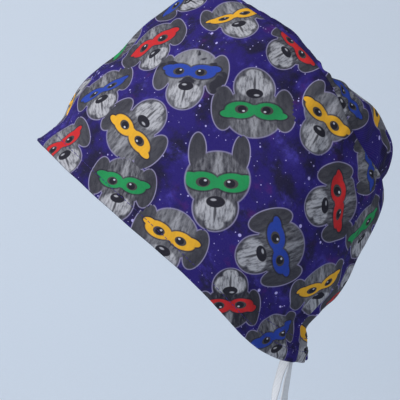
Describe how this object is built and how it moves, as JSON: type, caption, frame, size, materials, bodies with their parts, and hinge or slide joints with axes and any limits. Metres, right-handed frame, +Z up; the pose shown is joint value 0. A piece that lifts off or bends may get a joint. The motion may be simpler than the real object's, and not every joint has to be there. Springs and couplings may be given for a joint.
{
  "type": "surgical scrub cap",
  "caption": "Domed cotton scrub cap with a printed side panel gathered at the nape, an oval crown panel and two hanging ribbon ties; open below for a head.",
  "frame": {"origin": "middle of the head opening, halfway from brow to nape on the line of the rim, where the cap sits on a head", "axes": "+Z up as worn on a level head, the wearer faces -X, +Y is the wearer's right; the rim drops from the brow at -X to the nape at +X by 41 degrees; XZ is the plane of symmetry"},
  "size_m": [0.2458, 0.165, 0.2887],
  "materials": {
    "printed_cotton": "matte",
    "tie_ribbon": "satin"
  },
  "bodies": {
    "root": {"side_panel": "printed_cotton", "crown": "printed_cotton", "tie_left": "tie_ribbon", "tie_right": "tie_ribbon"}
  },
  "joints": []
}
